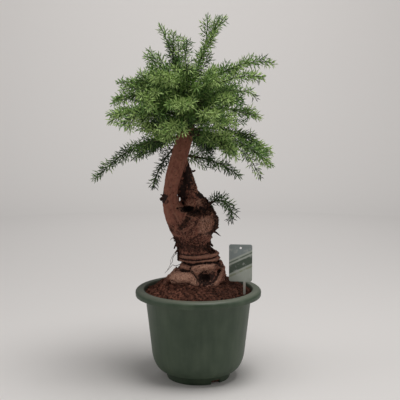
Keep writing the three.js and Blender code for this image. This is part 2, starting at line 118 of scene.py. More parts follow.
def grain(tree, size, detail=4, stretch=(1, 1, 1)):
    """Cloudy noise with lumps of a size in millimetres, drawn out by stretch, as a number from 0 to 1."""
    where = put(tree, "TexCoord").outputs["Object"]
    scale = tuple(1 / (size * MM * s) for s in stretch)
    place = put(tree, "Mapping", {"Vector": where, "Scale": scale}).outputs[0]
    return put(tree, "TexNoise", {"Vector": place, "Scale": 1, "Detail": detail}).outputs["Fac"]


def steps(tree, value, low, high):
    """A number run from 0 at low to 1 at high."""
    return put(tree, "MapRange", {"Value": value, "From Min": low, "From Max": high}).outputs[0]


def fine_relief(tree, shader, height, strength, depth):
    """Small bumps by a height from 0 to 1, of a depth in millimetres."""
    bump = put(tree, "Bump", {"Height": height, "Strength": strength, "Distance": depth * MM})
    tree.links.new(bump.outputs[0], shader.inputs["Normal"])


paper, tree, shader = finish("pale_paper", tone(224, 220, 217), 0.9)
fine_relief(tree, shader, grain(tree, 3), 0.03, 1)

FLOOR_RADIUS, CURVE_RADIUS, WALL_TOP = 2300, 1300, 4200
sweep_rings = [
    (FLOOR_RADIUS + CURVE_RADIUS * math.sin(a), CURVE_RADIUS - CURVE_RADIUS * math.cos(a))
    for a in np.linspace(0, 1.57, 17)
]
bpy.ops.object.select_all(action="DESELECT")
bpy.ops.mesh.primitive_circle_add(vertices=128, radius=FLOOR_RADIUS * MM, fill_type="NGON")
floor = bpy.context.object
floor.name = "paper_floor"
bpy.ops.object.duplicate()
wall = bpy.context.object
wall.name = "paper_wall"
bpy.ops.object.mode_set(mode="EDIT")
bpy.ops.mesh.select_all(action="SELECT")
bpy.ops.mesh.delete(type="ONLY_FACE")
bpy.ops.mesh.select_all(action="SELECT")
draw_out(sweep_rings + [(FLOOR_RADIUS + CURVE_RADIUS, WALL_TOP)])
bpy.ops.object.mode_set(mode="OBJECT")
wall.data.polygons.foreach_set("use_smooth", [True] * len(wall.data.polygons))
wall.visible_shadow = wall.visible_diffuse = wall.visible_glossy = False
for sheet in (floor, wall):
    sheet.data.materials.append(paper)

world = bpy.data.worlds.new("studio")
bpy.context.scene.world = world
world.use_nodes = True
world.node_tree.nodes["Background"].inputs["Color"].default_value = (1, 0.995, 0.985, 1)
world.node_tree.nodes["Background"].inputs["Strength"].default_value = 0.18

LIGHTS = [  # name, place, aim, width, watts
    ("overhead", (0.25, -0.25, 2.2), (0, 0, 0.3), 1.2, 32),
    ("right_side", (1.9, -0.5, 1.0), (0, 0, 0.35), 1.3, 6),
    ("left_side", (-1.9, -0.5, 1.2), (0, 0, 0.35), 1.3, 6.5),
    ("wall_wash", (0, 1.7, 2.4), (0, 3.6, 0.9), 0.6, 30),
]
for name, place, aim, width, watts in LIGHTS:
    light = bpy.data.lights.new(name, "AREA")
    light.shape = "DISK"
    light.size = width
    light.energy = watts
    lamp = bpy.data.objects.new(name, light)
    back = np.array(place) - np.array(aim)
    lamp.location = place
    lamp.rotation_euler = (
        math.atan2(math.hypot(back[0], back[1]), back[2]),
        0,
        math.atan2(back[0], -back[1]),
    )
    bpy.context.scene.collection.objects.link(lamp)


# ---- Pot ----
# A nursery pot moulded in dusty green plastic: a straight tapered wall on a rounded bottom, a narrow
# foot with three drainage notches, and a wide lip whose skirt hangs clear of the wall.
BOWL = {"heel": (68, 17), "curve": ((76.5, 18), (88.5, 26.5), (92.5, 50)), "flare": 12, "rise": 108}
FOOT_RING = [(60.5, 0), (62.5, 0)]
POT_FLOOR = [(60, 3), (8, 3)]
WALL_THICKNESS = 2.5
POT_SIDES = 96


def bowl(inset, points):
    """The pot's wall from foot to mouth as radius and height, drawn in by an inset."""
    first, middle, last = ((radius - inset, height) for radius, height in BOWL["curve"])
    first = (first[0], first[1] + 0.4 * inset)
    rings = []
    for t in np.linspace(0, 1, points):
        weights = ((1 - t) ** 2, 2 * t * (1 - t), t * t)
        rings.append(tuple(float(np.dot(weights, axis)) for axis in zip(first, middle, last)))
    radius, height = BOWL["curve"][2]
    straight = [
        (radius + BOWL["flare"] * k / 4 - inset, height + BOWL["rise"] * k / 4) for k in range(1, 5)
    ]
    return [(BOWL["heel"][0] - inset, BOWL["heel"][1])] + rings + straight


def pick(piece):
    """Makes the piece the only one selected, and the active one."""
    bpy.ops.object.select_all(action="DESELECT")
    piece.select_set(True)
    bpy.context.view_layer.objects.active = piece


def block(name, place, size, turn=0):
    """A rectangular block by its middle and its size in millimetres, turned about the upright."""
    bpy.ops.object.select_all(action="DESELECT")
    bpy.ops.mesh.primitive_cube_add(size=1, location=[v * MM for v in place], rotation=(0, 0, turn))
    piece = bpy.context.object
    piece.name = piece.data.name = name
    piece.scale = [v * MM for v in size]
    bpy.ops.object.transform_apply()
    return piece


def carve(piece, cutter):
    """Takes one solid out of another."""
    cut = piece.modifiers.new("cut", "BOOLEAN")
    cut.object = cutter
    cut.solver = "EXACT"
    apply_last(piece)
    bpy.data.objects.remove(cutter)


def apply_last(piece):
    """Applies the piece's newest modifier."""
    pick(piece)
    bpy.ops.object.modifier_apply(modifier=piece.modifiers[-1].name)


def soften_edges(piece, width, angle=30):
    """Rounds the sharp edges by a width in millimetres and shades the rest smooth."""
    edge = piece.modifiers.new("edge", "BEVEL")
    edge.width = width * MM
    edge.segments = 2
    edge.limit_method = "ANGLE"
    edge.angle_limit = math.radians(angle)
    apply_last(piece)
    bpy.ops.object.shade_smooth_by_angle(angle=math.radians(40))


LIP = [
    (110.4, 176.6), (119.5, 176.6), (121.6, 175.6), (122.4, 173.6), (122.6, 167), (124.5, 167),
    (124.9, 170), (125, 173), (124.6, 175.4), (123.3, 177.6), (121.3, 179.2), (119, 180), (109.4, 180),
    (108.2, 179.2),
]
pot = turned(
    "nursery_pot",
    FOOT_RING + bowl(0, 8) + LIP + bowl(WALL_THICKNESS, 6)[::-1] + POT_FLOOR,
    POT_SIDES,
)
NOTCH = {"headings": (-57, 63, 183), "radius": 65, "size": (30, 21, 16)}
for heading in NOTCH["headings"]:
    turn, radius = math.radians(heading), NOTCH["radius"]
    middle = (radius * math.cos(turn), radius * math.sin(turn), 0)
    carve(pot, block("notch", middle, NOTCH["size"], turn))
soften_edges(pot, 0.5)

pot_green, tree, shader = finish("dusty_green_plastic", tone(78, 92, 74), 0.46)
where = put(tree, "TexCoord").outputs["Object"]
height = put(tree, "SeparateXYZ", {"Vector": where}).outputs["Z"]
runs = grain(tree, 14, 5, (1, 1, 9))
cloud = grain(tree, 42, 6)
dust = put(tree, "Math", {0: runs, 1: cloud}, operation="MULTIPLY").outputs[0]
green = blend_colours(tree, steps(tree, dust, 0.12, 0.42), tone(48, 66, 46), tone(71, 86, 66))
# The top of the lip is paler: partly dust lying on it and partly a painted sheen where the overhead light
# grazes it.
rim_top_dust_and_sheen = steps(tree, height, 0.1755, 0.181)
green = blend_colours(tree, rim_top_dust_and_sheen, green, tone(116, 120, 106))
scuff_place = put(
    tree, "Mapping", {"Vector": where, "Location": (4.6, 11.2, -83.5), "Scale": (95, 95, 520)}
).outputs[0]
scuff = put(tree, "VectorMath", {0: scuff_place}, operation="LENGTH").outputs["Value"]
scuff = put(tree, "Math", {0: scuff, 1: grain(tree, 2, 3)}, operation="ADD").outputs[0]
green = blend_colours(tree, steps(tree, scuff, 1.3, 1.0), green, tone(170, 172, 160))
tree.links.new(green, shader.inputs["Base Color"])
rough = put(tree, "MapRange", {"Value": cloud, "To Min": 0.38, "To Max": 0.58}).outputs[0]
tree.links.new(rough, shader.inputs["Roughness"])
fine_relief(tree, shader, grain(tree, 1.1, 3), 0.12, 0.4)
pot.data.materials.append(pot_green)
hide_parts("pot")
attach(pot, "root")


# ---- Compost ----
# Coarse reddish-brown coir compost that fills the pot up to its lip and is heaped towards the stem, with
# loose crumbs and short fibres of the same coir lying on it.
def roughen(piece, size, depth, group):
    """Lifts and lowers one group of points by a depth in millimetres, in lumps of a size."""
    pattern = bpy.data.textures.new(piece.name + "_relief", "CLOUDS")
    pattern.noise_scale = size * MM
    pattern.noise_depth = 3
    relief = piece.modifiers.new("relief", "DISPLACE")
    relief.texture = pattern
    relief.texture_coords = "LOCAL"
    relief.strength = depth * MM
    relief.direction = "Z"
    relief.vertex_group = group
    apply_last(piece)


def choose(piece, parts, mode, test):
    """Opens the piece for editing with those of its points, edges or faces selected that pass a test."""
    bpy.ops.object.mode_set(mode="EDIT")
    bpy.ops.mesh.select_mode(type=mode)
    bpy.ops.mesh.select_all(action="DESELECT")
    bpy.ops.object.mode_set(mode="OBJECT")
    for part in getattr(piece.data, parts):
        part.select = test(part)
    bpy.ops.object.mode_set(mode="EDIT")


def places_of(piece):
    """The piece's points in millimetres."""
    points = np.empty(len(piece.data.vertices) * 3)
    piece.data.vertices.foreach_get("co", points)
    return points.reshape(-1, 3) / MM


def weigh(piece, name, weights):
    """Stores one weight for each point as a vertex group, in steps of a sixteenth."""
    group = piece.vertex_groups.new(name=name)
    level = np.round(np.clip(weights, 0, 1) * 16).astype(int)
    for step in range(1, 17):
        group.add(np.nonzero(level == step)[0].tolist(), step / 16, "REPLACE")


def smoothstep(t):
    """A share from 0 to 1 that starts and ends gently."""
    t = np.clip(t, 0, 1)
    return t * t * (3 - 2 * t)


HEAP = {"edge": 105.8, "slope": 39.8, "height": 173, "rise": 20.7}


def heap(radius):
    """Height of the compost at a distance from the middle of the pot."""
    return HEAP["height"] + HEAP["rise"] * smoothstep((HEAP["edge"] - radius) / HEAP["slope"])


def piece_of(name, points, triangles, material):
    """One piece from an array of points in millimetres and an array of triangles."""
    mesh = bpy.data.meshes.new(name)
    mesh.from_pydata((np.asarray(points) * MM).tolist(), (), np.asarray(triangles).tolist())
    mesh.materials.append(material)
    piece = bpy.data.objects.new(name, mesh)
    bpy.context.scene.collection.objects.link(piece)
    return piece


def strew(shape, faces, places, turns, sizes):
    """Copies of one small shape, each turned and stretched, as one array of points and one of faces."""
    cos, sin = np.cos(turns), np.sin(turns)
    x, y, z = (shape[None] * sizes[:, None]).transpose(2, 0, 1)
    y, z = y * cos[:, 0:1] - z * sin[:, 0:1], y * sin[:, 0:1] + z * cos[:, 0:1]
    x, z = x * cos[:, 1:2] - z * sin[:, 1:2], x * sin[:, 1:2] + z * cos[:, 1:2]
    x, y = x * cos[:, 2:3] - y * sin[:, 2:3], x * sin[:, 2:3] + y * cos[:, 2:3]
    points = np.stack([x, y, z], 2) + places[:, None]
    indices = faces[None] + (np.arange(len(places)) * len(shape))[:, None, None]
    return points.reshape(-1, 3), indices.reshape(-1, 3)


def small_ball(rounds):
    """A ball of a few faces, one millimetre in radius."""
    bpy.ops.object.select_all(action="DESELECT")
    bpy.ops.mesh.primitive_ico_sphere_add(subdivisions=rounds, radius=MM)
    start = bpy.context.object
    points = places_of(start)
    faces = np.array([list(p.vertices) for p in start.data.polygons])
    bpy.data.objects.remove(start)
    return points, faces


mound = [(float(r), float(heap(r))) for r in np.linspace(HEAP["edge"], 6, 26)]
soil = turned("compost_heap", [(59.7, 3.3)] + bowl(2.8, 5) + mound, POT_SIDES)
choose(
    soil, "polygons", "FACE", lambda f: f.normal.z > 0.3 and f.center.z > 0.172 and len(f.vertices) == 4
)
bpy.ops.mesh.subdivide(number_cuts=3)
bpy.ops.object.mode_set(mode="OBJECT")
points = places_of(soil)
weigh(soil, "top", (points[:, 2] - 171.5) / 3)
roughen(soil, 16, 4.5, "top")
roughen(soil, 4, 3.6, "top")

crumb_rng = np.random.default_rng(11)


def spots_on_compost(count, proud):
    """Random places on the heap, a little above it."""
    radius = 104 * np.sqrt(crumb_rng.uniform(0.12, 1, count))
    angle = crumb_rng.uniform(0, 2 * np.pi, count)
    level = heap(radius) + crumb_rng.uniform(-0.6, proud, count)
    return np.stack([radius * np.cos(angle), radius * np.sin(angle), level], 1)


ball_points, ball_faces = small_ball(1)
ball_points = ball_points * crumb_rng.uniform(0.7, 1.25, (len(ball_points), 1))
CRUMBS = [(2600, 1.0, 2.1, 1.2), (420, 2.0, 3.4, 1.0)]  # count, smallest, largest, how proud
crumb_sets = []
for count, small, large, proud in CRUMBS:
    size = crumb_rng.uniform(small, large, (count, 1)) * crumb_rng.uniform(0.6, 1.2, (count, 3))
    turns = crumb_rng.uniform(0, 6.28, (count, 3))
    crumb_sets.append(strew(ball_points, ball_faces, spots_on_compost(count, proud), turns, size))
FIBRES = {"count": 1500, "half_length": (2.5, 7), "half_width": (0.35, 0.8), "proud": 1.6}
fibre = np.array([[-1, 0, 0], [0, 0.5, 0], [0, -0.25, 0.43], [0, -0.25, -0.43], [1, 0.1, 0]])
fibre_faces = np.array([[0, 2, 1], [0, 3, 2], [0, 1, 3], [4, 1, 2], [4, 2, 3], [4, 3, 1]])
count = FIBRES["count"]
lengths = crumb_rng.uniform(*FIBRES["half_length"], count)
widths = crumb_rng.uniform(*FIBRES["half_width"], (2, count))
rolls = crumb_rng.normal(0, 0.4, count)
tilts = crumb_rng.normal(0, 0.35, count)
turns = np.stack([rolls, tilts, crumb_rng.uniform(0, 6.28, count)], 1)
places = spots_on_compost(count, FIBRES["proud"])
crumb_sets.append(strew(fibre, fibre_faces, places, turns, np.stack([lengths, *widths], 1)))


def joined(sets):
    """Several arrays of points and faces as one."""
    starts = np.cumsum([0] + [len(points) for points, _ in sets[:-1]])
    return np.concatenate([p for p, _ in sets]), np.concatenate([f + s for (_, f), s in zip(sets, starts)])


coir, tree, shader = finish("coir_compost", tone(92, 60, 48), 0.95, 0.2)
where = put(tree, "TexCoord").outputs["Object"]
lumps = grain(tree, 5, 6)
patches = grain(tree, 26, 3)
lumpy = steps(tree, lumps, 0.4, 0.62)
# The compost is lighter on the left of the pot and darker on the right.
left_side_brown = blend_colours(tree, lumpy, tone(56, 34, 28), tone(158, 104, 85))
right_side_brown = blend_colours(tree, lumpy, tone(34, 20, 16), tone(104, 66, 52))
left_to_right = put(tree, "SeparateXYZ", {"Vector": where}).outputs["X"]
brown = blend_colours(tree, steps(tree, left_to_right, -0.08, 0.05), left_side_brown, right_side_brown)
brown = blend_colours(tree, steps(tree, patches, 0.45, 0.75), brown, tone(84, 52, 42))
tree.links.new(brown, shader.inputs["Base Color"])
fine_relief(tree, shader, grain(tree, 1.6, 5), 0.7, 1)
soil.data.materials.append(coir)
crumbs = piece_of("compost_crumbs", *joined(crumb_sets), coir)
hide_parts("soil")
for piece in (soil, crumbs):
    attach(piece, "root")


# ---- Stem ----
# The old stem: a smooth reddish limb at the left, and a rotted stump that leans on it at the right, over
# a lumpy boss, a narrow neck and thick folds of bark that run into the roots.
LIMB = [
    (-22, 0, 296, 30), (-37, -2, 318, 27), (-51, -3, 343, 20), (-55.5, -4, 366, 14.5), (-53, -4, 384, 14.4),
    (-48, -4, 408, 16.2), (-40, -3, 432, 16.8), (-33, -2, 456, 17), (-26, 0, 480, 15.6), (-20, 1, 505, 13),
    (-16, 2, 528, 10), (-14, 3, 547, 6.5),
]


def smooth_line(stations, count):
    """Points on a smooth line through the stations, as the source of the solids draws it."""
    rows = np.array(stations, float)
    rows = np.vstack([2 * rows[0] - rows[1], rows, 2 * rows[-1] - rows[-2]])
    line = []
    for t in np.linspace(0, len(stations) - 1, count):
        k = min(int(t), len(stations) - 2)
        a, b, c, d = rows[k : k + 4, :3]
        gaps = [np.linalg.norm(q - p) ** 0.5 for p, q in ((a, b), (b, c), (c, d))]
        leave = ((b - a) / gaps[0] - (c - a) / (gaps[0] + gaps[1]) + (c - b) / gaps[1]) * gaps[1]
        arrive = ((c - b) / gaps[1] - (d - b) / (gaps[1] + gaps[2]) + (d - c) / gaps[2]) * gaps[1]
        w = t - k
        line.append(
            b + leave * w + (3 * (c - b) - 2 * leave - arrive) * w**2 + (2 * (b - c) + leave + arrive) * w**3
        )
    return np.array(line)


LIMB_POINTS = 81
limb_line = smooth_line(LIMB, LIMB_POINTS)
nearest_station = [int(i / (LIMB_POINTS - 1) * (len(LIMB) - 1) + 0.5) for i in range(LIMB_POINTS)]
limb_radius = np.array([LIMB[k][3] for k in nearest_station])


def unit(v):
    """Directions of length one."""
    return v / np.linalg.norm(v, axis=-1, keepdims=True)


def tube(line, radii, sides):
    """A closed tapering tube along a line of points, as points and faces."""
    line = np.asarray(line, float)
    ways = unit(np.gradient(line, axis=0))
    across = unit(np.cross(ways, (0.31, 0.17, 0.93) if abs(ways[0][2]) < 0.9 else (1.0, 0.2, 0.1)))
    up = np.cross(ways, across)
    a = 2 * np.pi * np.arange(sides) / sides
    spokes = across[:, None] * np.cos(a)[None, :, None] + up[:, None] * np.sin(a)[None, :, None]
    points = (line[:, None] + spokes * np.asarray(radii)[:, None, None]).reshape(-1, 3)
    faces = []
    for i in range(len(line) - 1):
        for j in range(sides):
            p, q = i * sides + j, i * sides + (j + 1) % sides
            faces += [(p, q, q + sides), (p, q + sides, p + sides)]
    last = (len(line) - 1) * sides
    faces += [(0, j + 1, j) for j in range(1, sides - 1)]
    faces += [(last, last + j, last + j + 1) for j in range(1, sides - 1)]
    return points, np.array(faces)


cad_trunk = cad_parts["trunk"]
trunk = cad_trunk.copy()
trunk.data = cad_trunk.data.copy()
trunk.name = trunk.data.name = "trunk_bark"
trunk.parent = None
trunk.data.materials.clear()
bpy.context.scene.collection.objects.link(trunk)
pick(trunk)
bpy.ops.object.mode_set(mode="EDIT")
bpy.ops.mesh.select_all(action="SELECT")
bpy.ops.mesh.remove_doubles(threshold=0.00001)
bpy.ops.object.mode_set(mode="OBJECT")
skin = trunk.modifiers.new("skin", "REMESH")
skin.mode = "VOXEL"
skin.voxel_size = 1.15 * MM
apply_last(trunk)
even = trunk.modifiers.new("even", "SMOOTH")
even.factor = 0.5
even.iterations = 7
apply_last(trunk)


def normals_of(piece):
    """The directions in which the surface faces at the piece's points."""
    normals = np.empty(len(piece.data.vertices) * 3)
    piece.data.vertices.foreach_get("normal", normals)
    return normals.reshape(-1, 3)


def cloudy(points, size, detail, ridged=False):
    """Noise with lumps of a size in millimetres at each point, about -0.5 to 0.5."""
    if ridged:
        values = [noise.ridged_multi_fractal(p, 0.9, 2.1, detail, 1, 2) for p in (points / size).tolist()]
        return np.array(values) / 2 - 0.6
    return np.array([noise.fractal(p, 0.8, 2.1, detail) for p in (points / size).tolist()]) * 0.6


def beside(points, stations):
    """Distance in millimetres from each point to a line of x and height, seen from the front."""
    nearest = np.full(len(points), 1e3)
    for start, end in zip(np.array(stations, float), np.array(stations[1:], float)):
        flat = points[:, [0, 2]] - start
        share = np.clip(flat @ (end - start) / ((end - start) @ (end - start)), 0, 1)
        nearest = np.minimum(nearest, np.linalg.norm(flat - share[:, None] * (end - start), axis=1))
    return nearest


# The darkness of each crease is painted shade, with some dark bark in it.
CREASES = [  # stations of x and height on the front, then half width, depth and how dark it is
    ([(-37, 348), (-25, 341), (-8, 337), (8, 339), (22, 342), (37, 336)], 7, 4.5, 1),  # under the stump
    ([(-31, 372), (-34, 358), (-35, 345)], 3.5, 0.5, 1),  # between the limb and the stump
    ([(-35, 304), (-29, 317), (-20, 325)], 5, 3.2, 0.85),  # left of the boss
    ([(-21, 428), (-22, 401), (-29, 383), (-34, 365), (-36, 349)], 8.5, 0, 1),  # beside the limb
    ([(-24, 296), (-9, 306), (-3, 320)], 4, 1.3, 0.3),
    ([(-14, 284), (4, 293), (22, 294), (31, 303)], 3.4, 1.3, 0.35),
    ([(-48, 330), (-38, 312), (-33, 296)], 3.2, 1, 0.2),
    ([(38, 334), (39, 316), (36, 300), (29, 289)], 6.5, 1.5, 0.95),  # scaly edge of the boss
    # between the two rolls of bark, over the upper one and under the lower one
    ([(-39, 243), (-12, 242.4), (10, 244), (25, 245), (41, 247.5)], 1.3, 1.4, 0.7),
    ([(-38, 252), (-10, 251.5), (14, 254), (34, 256)], 1.2, 1, 0.5),
    (
        [(-40, 234), (-25, 236), (-12, 233), (0, 237), (16, 238), (32, 236), (38, 233), (49, 226)],
        2.2, 2.6, 0.85,
    ),
    # over the left root, in the rotted hole and beside the ridge
    ([(-46, 226), (-34, 223.5), (-26, 222.5), (-13, 221), (-5, 213), (0, 204)], 3.2, 2.4, 0.55),
    ([(-13, 233), (-15, 226), (-13, 221)], 1.8, 1.2, 0.35),
    ([(4, 211), (14, 209), (26, 211)], 9.5, 3.2, 1),
    ([(43, 223), (37, 210), (29, 203), (17, 198)], 3, 1.8, 0.45),
    ([(37, 232), (44, 229), (52, 229)], 1.8, 1.6, 0.7),
    ([(-52, 204), (-38, 199), (-24, 200), (-10, 196)], 1.4, 1, 0.5),
]
# Pale places: partly bark pale from wear, partly a painted highlight on the lit bulges, the boss and the
# rolls of bark.
PALE = [  # stations, half width and how pale the bark is painted
    ([(-44, 209), (-28, 211), (-12, 206)], 17, 1), ([(-8, 228), (26, 228)], 11, 0.95),
    ([(13, 302), (14, 318)], 15, 0.65), ([(46, 222), (41, 207), (31, 197), (18, 192)], 4.5, 0.7),
    ([(-10, 240), (34, 241)], 3, 0.7), ([(-30, 248), (36, 251)], 3, 0.4), ([(-30, 229), (-20, 229)], 6, 0.5),
    ([(2, 354), (14, 352), (28, 343)], 9, 0.4), ([(-2, 376), (4, 366)], 5, 0.3),
]
# Rotted places, hollows and gaps are painted dark: partly dark rotten bark, partly painted shade.
DARK_SPOTS = [  # middle and half widths of the dark places, then how dark they are painted
    (14, -52, 210, 18, 18, 14, 1), (0, -28, 338, 34, 18, 8, 1), (-22, -2, 405, 10, 16, 30, 1),
    (-31, -4, 372, 9, 16, 24, 1), (-64, -8, 360, 11, 12, 12, 1), (27, 0, 347, 15, 18, 10, 1),
    (32, -14, 300, 9, 22, 24, 1), (-12, -8, 268, 28, 28, 11, 0.6), (6, 0, 366, 9, 16, 10, 1),
]
# How much each point is of the smooth limb, faces the front and lies in a crease. How dark it is painted:
# partly rotten bark and partly painted shade. How pale it is: partly bark pale from wear and partly a painted
# highlight.
points, normals = places_of(trunk), normals_of(trunk)
to_limb = np.linalg.norm(points[:, None] - limb_line[None, ::4], axis=2) - limb_radius[None, ::4]
on_limb = smoothstep((4.5 - to_limb.min(1)) / 3) * smoothstep((points[:, 2] - 292) / 40)
front = smoothstep((0.35 - normals[:, 1]) / 0.5)
ragged = cloudy(points, 5, 3)
sunk, dark, pale = np.zeros(len(points)), np.zeros(len(points)), np.zeros(len(points))
for stations, width, depth, darkness in CREASES:
    share = front * smoothstep((width * (1.15 + 0.9 * ragged) - beside(points, stations)) / (0.8 * width))
    share = share * (1 - 0.9 * on_limb * (points[:, 2] > 345))
    sunk = np.maximum(sunk, share * depth)
    dark = np.maximum(dark, share * darkness)
for stations, width, paleness in PALE:
    share = front * smoothstep((width * (1.1 + 0.5 * ragged) - beside(points, stations)) / (0.7 * width))
    pale = np.maximum(pale, share * paleness)
for x, y, z, rx, ry, rz, darkness in DARK_SPOTS:
    away = np.linalg.norm((points - (x, y, z)) / (rx, ry, rz), axis=1)
    share = smoothstep((1.15 + 0.9 * ragged - away) / 0.35) * (1 - on_limb * (points[:, 0] > -58))
    dark = np.maximum(dark, share * darkness)
# The relief is scaly and crumbly on the old bark, slight on the two rolls and on pale bark.
rolls = smoothstep((14 - abs(points[:, 2] - 243)) / 4)
scales = cloudy(points * (1, 1, 0.7), 8, 4, True) * (1.9 - 1.3 * rolls - 0.9 * pale)
crumbly = cloudy(points, 2.6, 3) * (1.5 - 0.8 * rolls - 0.7 * pale)
rough_wood = scales + crumbly + 2.2 * cloudy(points, 19, 2) * (1 - 0.7 * rolls)
smooth_wood = 1.3 * cloudy(points * (1, 1, 0.5), 7, 3)
lift = rough_wood * (1 - on_limb) + smooth_wood * on_limb - sunk
trunk.data.vertices.foreach_set("co", ((points + normals * lift[:, None]) * MM).ravel())
trunk.data.update()


def store(piece, name, values):
    """Keeps one number for each point with the mesh, for a material to read."""
    layer = piece.data.attributes.new(name, "FLOAT", "POINT")
    layer.data.foreach_set("value", np.clip(values, 0, 1))


def sunken(piece, rounds, depth):
    """How far each point lies below the mesh's own smoothed shape, from 0 to 1 at a depth in millimetres."""
    mesh = piece.data
    ends = np.empty(len(mesh.edges) * 2, int)
    mesh.edges.foreach_get("vertices", ends)
    a, b = ends.reshape(-1, 2).T
    start = places_of(piece)
    count = np.bincount(a, minlength=len(start)) + np.bincount(b, minlength=len(start))
    smooth = start.copy()
    for _ in range(rounds):
        total = np.stack(
            [
                np.bincount(a, smooth[b, k], len(start)) + np.bincount(b, smooth[a, k], len(start))
                for k in range(3)
            ],
            1,
        )
        smooth = total / count[:, None]
    return np.sum((smooth - start) * normals_of(piece), 1) / depth


# How far each point is sunk below the smoothed bark. It places painted shade in the hollows and a painted
# highlight on the raised bark.
store(trunk, "crevice", 0.5 + 0.5 * sunken(trunk, 8, 0.8))
store(trunk, "dark", dark)
store(trunk, "pale", pale)
store(trunk, "young", on_limb)

bark, tree, shader = finish("old_bark", tone(110, 72, 58), 0.88, 0.3)
crevice, rot_and_shade, paleness_and_highlight, young = (
    put(tree, "Attribute", attribute_name=name).outputs["Fac"]
    for name in ("crevice", "dark", "pale", "young")
)
mottle = grain(tree, 9, 8)
fine = grain(tree, 2.4, 6)
specks = grain(tree, 3.4, 4)
streaks = grain(tree, 4, 7, (1, 1, 2))
old = blend_colours(tree, steps(tree, mottle, 0.4, 0.6), tone(96, 57, 47), tone(147, 94, 77))
old = blend_colours(tree, steps(tree, fine, 0.5, 0.66), old, tone(66, 42, 35))
limb_wood = blend_colours(tree, steps(tree, streaks, 0.36, 0.64), tone(126, 77, 63), tone(149, 96, 79))
wood = blend_colours(tree, young, old, limb_wood)
wood = blend_colours(tree, steps(tree, specks, 0.64, 0.7), wood, tone(56, 34, 28))
# Bark pale from wear, with a painted highlight on the lit bulges, the boss and the rolls.
pale_and_highlit_bark = blend_colours(tree, steps(tree, fine, 0.46, 0.68), tone(196, 150, 128), tone(134, 94, 78))
wood = blend_colours(tree, paleness_and_highlight, wood, pale_and_highlit_bark)
# Sunken bark is darker, partly dark bark and partly painted shade. Raised bark is lighter, a painted
# highlight.
wood = blend_colours(tree, steps(tree, crevice, 0.58, 0.9), wood, tone(52, 32, 26))
wood = blend_colours(tree, steps(tree, crevice, 0.4, 0.15), wood, tone(140, 98, 80))
# Creases, hollows and rotted places are painted nearly black: dark rotten bark and painted shade.
wood = blend_colours(tree, rot_and_shade, wood, tone(43, 28, 24))
tree.links.new(wood, shader.inputs["Base Color"])
fine_relief(tree, shader, fine, 0.6, 0.8)
trunk.data.materials.append(bark)
pick(trunk)
bpy.ops.object.shade_smooth()


# Flakes of dead, nearly black bark. They hold by one end to the rotten places, the rim of the boss and the
# neck, and stand off them.
FLAKES = [  # middle and half widths of the place, how many, and their largest size
    (36, -10, 312, 12, 26, 27, 460, 5.4), (0, -28, 338, 40, 16, 9, 300, 4.4),
    (24, -4, 352, 18, 20, 16, 260, 4.6), (-66, -6, 360, 10, 12, 13, 160, 4.2),
    (-8, -4, 396, 12, 14, 30, 120, 3.6), (22, -6, 264, 12, 24, 13, 260, 5.6),
    (-42, -4, 266, 12, 26, 24, 380, 5.6), (-10, -30, 268, 34, 14, 14, 260, 3.8),
    (-28, -22, 316, 12, 20, 14, 160, 4), (0, 24, 290, 50, 30, 70, 500, 4.2),
    (-10, 4, 232, 60, 50, 22, 260, 3.2), (14, -50, 210, 18, 16, 13, 120, 3.2),
    (-8, -30, 306, 46, 20, 36, 260, 3.0), (-52, -6, 322, 18, 22, 30, 110, 2.6),
    (24, -4, 262, 9, 14, 13, 70, 11), (-42, -4, 272, 9, 14, 19, 90, 10), (40, -8, 312, 8, 16, 26, 110, 9),
    (-66, -6, 360, 7, 12, 10, 24, 9), (30, -4, 345, 14, 16, 10, 50, 8), (-46, -6, 236, 9, 16, 14, 40, 7),
]
flake = np.array([(-1, -0.5, 0), (0.1, -0.75, 0.15), (1, 0.05, 0.5), (0.15, 0.7, 0.2), (-0.8, 0.5, 0)])
flake = np.concatenate([flake, flake * (0.9, 0.85, 1) - (0, 0, 0.24)])
flake_faces = np.array(
    [(0, 1, 2), (0, 2, 3), (0, 3, 4), (5, 7, 6), (5, 8, 7), (5, 9, 8)]
    + [f for i in range(5) for f in ((i, i + 5, (i + 1) % 5), ((i + 1) % 5, i + 5, (i + 1) % 5 + 5))]
)
flake_rng = np.random.default_rng(5)
points, normals = places_of(trunk), normals_of(trunk)
flake_sets = []
for x, y, z, rx, ry, rz, count, largest in FLAKES:
    near = np.linalg.norm((points - (x, y, z)) / (rx, ry, rz), axis=1) < 1
    near = np.nonzero(near & (on_limb < 0.5) & (points[:, 2] > 196))[0]
    chosen = flake_rng.choice(near, count)
    up = normals[chosen]
    along = unit(np.cross(up, flake_rng.normal(0, 1, (count, 3))))
    along = unit(along + up * flake_rng.uniform(-0.1, 0.55, (count, 1)))
    across = unit(np.cross(up, along))
    size = flake_rng.uniform(0.3, 0.5, (count, 1, 1)) * largest * flake_rng.uniform(0.6, 1.2, (count, 1, 3))
    local = flake[None] * size
    placed = (
        points[chosen][:, None] + local[..., 0:1] * along[:, None] + local[..., 1:2] * across[:, None]
        + local[..., 2:3] * np.cross(along, across)[:, None]
    )
    starts = (np.arange(count) * len(flake))[:, None, None]
    flake_sets.append((placed.reshape(-1, 3), (flake_faces[None] + starts).reshape(-1, 3)))
dead_bark, tree, shader = finish("dead_bark", tone(58, 38, 31), 0.9, 0.2)
lumps = grain(tree, 5, 3)
brown = blend_colours(tree, steps(tree, lumps, 0.4, 0.62), tone(44, 29, 24), tone(92, 59, 47))
tree.links.new(brown, shader.inputs["Base Color"])
flakes = piece_of("bark_flakes", *joined(flake_sets), dead_bark)


